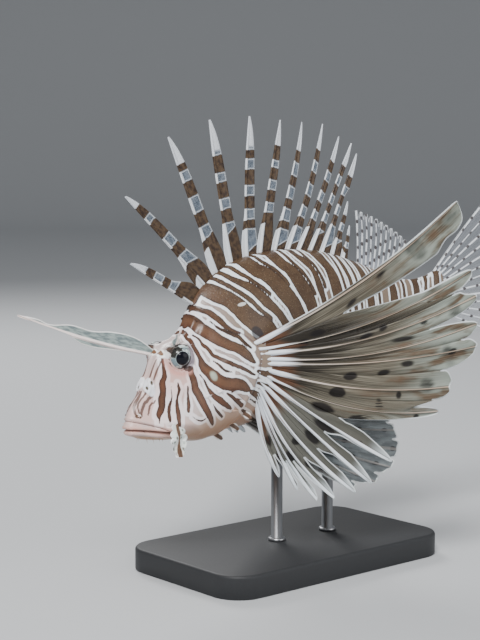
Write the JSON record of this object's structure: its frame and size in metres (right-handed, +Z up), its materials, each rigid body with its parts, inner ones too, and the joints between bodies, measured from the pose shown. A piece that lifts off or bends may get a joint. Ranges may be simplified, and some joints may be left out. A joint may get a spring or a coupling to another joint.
{
  "type": "red lionfish model on a display stand",
  "caption": "Life-size still model of a swimming red lionfish with long spines and spread, spotted fan fins, head down on two short rods over a plain flat base.",
  "frame": {"origin": "middle of the stand's underside, on the surface it stands on", "axes": "+X towards the tail along the longest extent, -Y towards the fish's left side, +Z up; -Z is out of the stand's underside"},
  "size_m": [0.3149, 0.1712, 0.2325],
  "materials": {
    "skin": "wet skin, pinkish white with brown bands",
    "eye": "wet and glossy, blue-black pupil in a pale iris",
    "spine": "satin, banded white and brown",
    "membrane": "thin translucent film over pale rays, dark spots",
    "cirrus": "soft thin skin",
    "stand_metal": "satin",
    "stand": "matte"
  },
  "bodies": {
    "root": {"head": "skin", "lower_jaw": "skin", "torso": "skin", "tail_stalk": "skin", "eye_left": "eye", "eye_right": "eye", "dorsal_fin_spiny": "spine", "dorsal_fin_soft": "membrane", "anal_fin": "membrane", "caudal_fin": "membrane", "pectoral_fin_left": "membrane", "pectoral_fin_right": "membrane", "pelvic_fin_left": "membrane", "pelvic_fin_right": "membrane", "tentacle_right": "cirrus", "tentacle_left": "cirrus", "frill_left": "cirrus", "frill_right": "cirrus", "stand_rod_front": "stand_metal", "stand_rod_rear": "stand_metal", "stand_base": "stand"}
  },
  "joints": []
}
